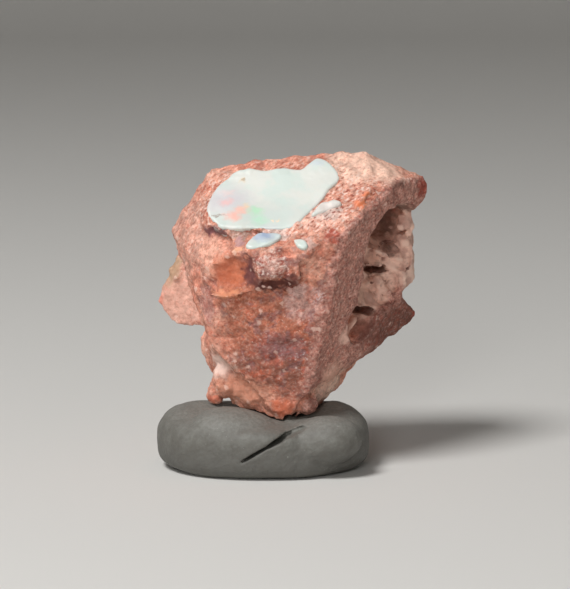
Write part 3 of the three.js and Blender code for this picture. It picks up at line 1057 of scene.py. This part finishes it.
putty_material, wire, shader = new_material("grey_putty")
place = place_in_mm(wire)
colour = mottle(
    wire, place, size=1.2, detail=5, low=0.38, high=0.62, under=GREY, over=LIGHT_GREY
)
height = wire.node("ShaderNodeSeparateXYZ", Vector=place).outputs["Z"]
# Painted shade darkens the grey low down, and painted light makes it paler on top.
low = wire.maths("MULTIPLY", wire.steps(height, *LOW_SHADE_HEIGHTS), 0.7)
colour = wire.mix(low, colour, SHADED_LOW_GREY)
top = wire.maths("MULTIPLY", wire.steps(height, *TOP_LIGHT_HEIGHTS), 0.7)
colour = wire.mix(top, colour, LIT_TOP_GREY)
colour = mottle(
    wire, place, size=0.3, detail=4, low=0.42, high=0.58, under=colour, over=GRIT, strength=0.25
)
colour = mottle(
    wire, place, size=0.25, detail=1, low=0.77, high=0.79, under=colour, over=SPECK, strength=0.5
)
wire.tree.links.new(colour, shader.inputs["Base Color"])
shader.inputs["Roughness"].default_value = 0.6
drawn = wire.node(
    "ShaderNodeMapping", streaked, Vector=place, Rotation=DRAWN_TURN, Scale=DRAWN_SHAPE
)
even = wire.noise(place, size=0.35, detail=4)
fingered = wire.noise(drawn.outputs[0], size=0.5, detail=3)
relief = wire.maths("ADD", even, fingered)
wire.bump(shader, relief, strength=0.7, depth=0.1)
print("grey_putty:", len(wire.tree.nodes), "nodes")

# %% [markdown]
# ## The floor
#
# A specimen is shown on a sweep of pale paper: flat under it, then curving up, so that no line
# runs behind it. Here the paper is round, so it looks the same from every side. It starts as a
# disc, and its rim is extruded along a quarter circle and then straight up.

# %% Paper
floor_material, wire, shader = new_material("paper")
shader.inputs["Base Color"].default_value = rgb(222, 220, 216)
shader.inputs["Roughness"].default_value = 0.9

# %% Paper sweep
FLOOR_RADIUS = 0.6
FLOOR_SIDES = 128
CURVE_RADIUS = 0.25
CURVE_STEPS = 10
WALL_HEIGHT = 0.6

bpy.ops.object.select_all(action="DESELECT")
bpy.ops.mesh.primitive_circle_add(
    vertices=FLOOR_SIDES, radius=FLOOR_RADIUS, fill_type="NGON", location=(0, 0, 0)
)
floor = bpy.context.object
floor.name = "paper_sweep"
bpy.ops.object.mode_set(mode="EDIT")
bpy.ops.mesh.select_all(action="SELECT")
bpy.ops.mesh.select_mode(type="EDGE")
bpy.ops.mesh.region_to_loop()
reach = FLOOR_RADIUS
for step in range(1, CURVE_STEPS + 1):
    before = math.radians(90 * (step - 1) / CURVE_STEPS)
    after = math.radians(90 * step / CURVE_STEPS)
    rise = CURVE_RADIUS * (math.cos(before) - math.cos(after))
    wider = reach + CURVE_RADIUS * (math.sin(after) - math.sin(before))
    bpy.ops.mesh.extrude_region_move(TRANSFORM_OT_translate={"value": (0, 0, rise)})
    bpy.ops.transform.resize(value=(wider / reach, wider / reach, 1))
    reach = wider
bpy.ops.mesh.extrude_region_move(TRANSFORM_OT_translate={"value": (0, 0, WALL_HEIGHT)})
bpy.ops.object.mode_set(mode="OBJECT")
bpy.ops.object.shade_smooth()
floor.data.materials.append(floor_material)
print("paper sweep:", len(floor.data.polygons), "faces, reaching", round(reach, 2), "m")

# %% [markdown]
# ## Lights
#
# The main light is a large soft box, high on the left, so that the slope is bright and the
# fracture is in shade. A weaker one in front keeps the shade readable, and the world adds a
# trace of light from all round. Small lamps would give hard, black shadows in the hollow.

# %% Lights
WORLD_LIGHT = 0.06


def softbox(name, place, aim, size, power):
    data = bpy.data.lights.new(name, "AREA")
    data.shape = "DISK"
    data.size = size
    data.energy = power
    light = bpy.data.objects.new(name, data)
    light.location = place
    light.rotation_euler = (Vector(aim) - Vector(place)).to_track_quat("-Z", "Y").to_euler()
    light.visible_camera = False
    scene.collection.objects.link(light)
    print(name, "light:", power, "W, in metres at", place)


softbox("key", place=(-0.2, -0.25, 0.44), aim=AIM, size=0.18, power=2.3)
softbox("front", place=(-0.1, -0.56, 0.2), aim=AIM, size=0.16, power=0.8)
scene.world = bpy.data.worlds.new("studio")
scene.world.use_nodes = True
background = scene.world.node_tree.nodes["Background"]
background.inputs["Color"].default_value = (1, 1, 1, 1)
background.inputs["Strength"].default_value = WORLD_LIGHT
scene.view_settings.view_transform = "Standard"

# %% [markdown]
# ## Put the pieces on the frame
#
# Each finished piece rides on the body that its imported node rides on, takes that node's place and
# gets its material. Nothing moves here, so there is only the root body.

# %% Put the pieces on the frame
for piece, material, nodes, slot in [
    (rock, rock_material, ["host_rock"], "rock"),
    (putty, putty_material, ["mounting_putty"], "putty"),
    *[(opal, opal_material, [node], "opal") for node, opal in opals.items()],
]:
    piece.data.materials.clear()
    piece.data.materials.append(material)
    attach(piece, "root")
    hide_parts(*nodes)
    print(piece.name, "stands for", nodes, "in", material.name)
